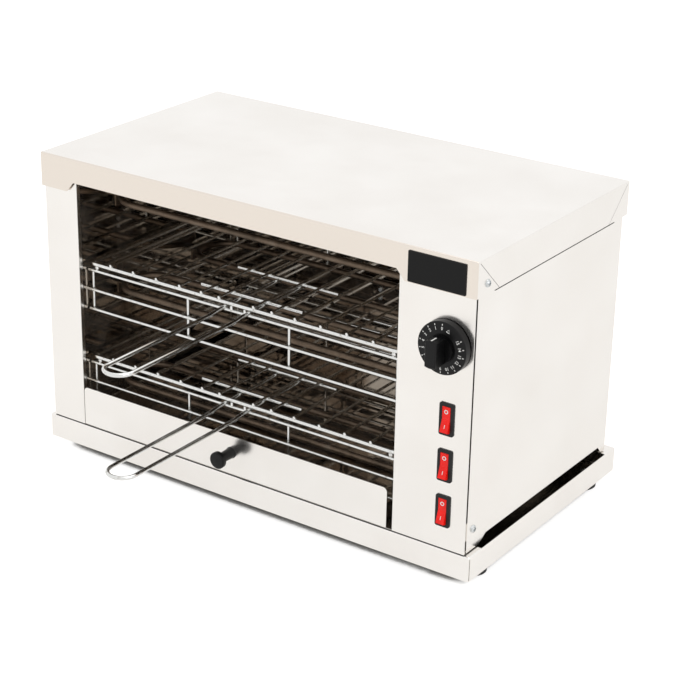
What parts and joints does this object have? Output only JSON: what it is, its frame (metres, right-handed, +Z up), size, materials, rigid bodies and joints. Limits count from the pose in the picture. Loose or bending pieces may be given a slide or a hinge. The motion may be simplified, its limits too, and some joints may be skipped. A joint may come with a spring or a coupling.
{
  "type": "toaster grill",
  "caption": "Countertop catering toaster grill: steel case with an open front, sliding wire racks between heating elements, crumb tray, timer knob and rocker switches.",
  "frame": {"origin": "centre of the overall box at floor level", "axes": "+X to the right as seen from the front, +Y from the open front to the back, +Z up"},
  "size_m": [0.508, 0.455, 0.3211],
  "materials": {
    "case_sheet": "satin",
    "liner_sheet": "bright",
    "plated_wire": "bright plated",
    "element_sheath": "oxidised sheath",
    "zinc_fastener": "zinc plated",
    "brass_part": "plain",
    "ceramic": "unglazed",
    "black_plastic": "moulded",
    "red_rocker": "glossy, lit from inside",
    "black_rubber": "matt",
    "black_plate": "glossy black"
  },
  "bodies": {
    "case": {"back_panel": "case_sheet", "back_panel_screws": "zinc_fastener", "back_stiffener": "liner_sheet", "back_wall_screws": "zinc_fastener", "base_tray": "case_sheet", "body_floor": "liner_sheet", "cable_gland": "black_plastic", "cable_gland_nut": "black_plastic", "cavity_back_wall": "liner_sheet", "cavity_ceiling": "liner_sheet", "cavity_left_wall": "liner_sheet", "cavity_right_wall": "liner_sheet", "control_panel": "case_sheet", "element_bushes": "brass_part", "element_clips": "liner_sheet", "element_insulators": "ceramic", "element_terminals": "brass_part", "feet": "black_rubber", "floor_nuts": "zinc_fastener", "floor_screws": "zinc_fastener", "foot_nuts": "zinc_fastener", "foot_screws": "zinc_fastener", "left_side_panel": "case_sheet", "lid": "case_sheet", "lid_plate": "black_plate", "lid_screws": "zinc_fastener", "lid_spacers": "zinc_fastener", "lower_elements": "element_sheath", "lower_wire_guard": "plated_wire", "middle_elements": "element_sheath", "right_side_panel": "case_sheet", "side_panel_screw": "zinc_fastener", "side_panel_tabs": "liner_sheet", "switch_housing_bottom": "black_plastic", "switch_housing_middle": "black_plastic", "switch_housing_top": "black_plastic", "switch_tabs": "brass_part", "terminal_block": "ceramic", "terminal_block_screws": "zinc_fastener", "timer_body": "black_plastic", "timer_screws": "zinc_fastener", "top_elements": "element_sheath", "tray_guides": "liner_sheet", "upper_wire_guard": "plated_wire"},
    "upper_rack": {"upper_rack_frame": "plated_wire", "upper_rack_wires": "plated_wire", "upper_rack_handle": "plated_wire"},
    "lower_rack": {"lower_rack_frame": "plated_wire", "lower_rack_wires": "plated_wire", "lower_rack_handle": "plated_wire"},
    "crumb_tray": {"crumb_tray_pan": "liner_sheet", "crumb_tray_front": "case_sheet", "crumb_tray_rivets": "zinc_fastener", "crumb_tray_knob": "black_plastic", "crumb_tray_knob_screw": "zinc_fastener"},
    "timer": {"timer_knob": "black_plastic", "timer_shaft": "zinc_fastener"},
    "top_rocker": {"rocker_top": "red_rocker"},
    "middle_rocker": {"rocker_middle": "red_rocker"},
    "bottom_rocker": {"rocker_bottom": "red_rocker"}
  },
  "joints": [
    {"name": "upper_rack_slide", "type": "slide", "parent": "case", "child": "upper_rack", "axis": [0, -1, 0], "range_m": [0, 0.17]},
    {"name": "lower_rack_slide", "type": "slide", "parent": "case", "child": "lower_rack", "axis": [0, -1, 0], "range_m": [0, 0.17]},
    {"name": "crumb_tray_slide", "type": "slide", "parent": "case", "child": "crumb_tray", "axis": [0, -1, 0], "range_m": [0, 0.2]},
    {"name": "timer_turn", "type": "hinge", "parent": "case", "child": "timer", "pos_m": [0.2206, -0.0578, 0.2367], "axis": [0, 1, 0], "range_deg": [-20, 300]},
    {"name": "top_rocker_tilt", "type": "hinge", "parent": "case", "child": "top_rocker", "pos_m": [0.2241, -0.05512, 0.1668], "axis": [1, 0, 0], "range_deg": [0, 19]},
    {"name": "middle_rocker_tilt", "type": "hinge", "parent": "case", "child": "middle_rocker", "pos_m": [0.2241, -0.05512, 0.12135], "axis": [1, 0, 0], "range_deg": [0, 19]},
    {"name": "bottom_rocker_tilt", "type": "hinge", "parent": "case", "child": "bottom_rocker", "pos_m": [0.2241, -0.05512, 0.0759], "axis": [1, 0, 0], "range_deg": [0, 19]}
  ]
}
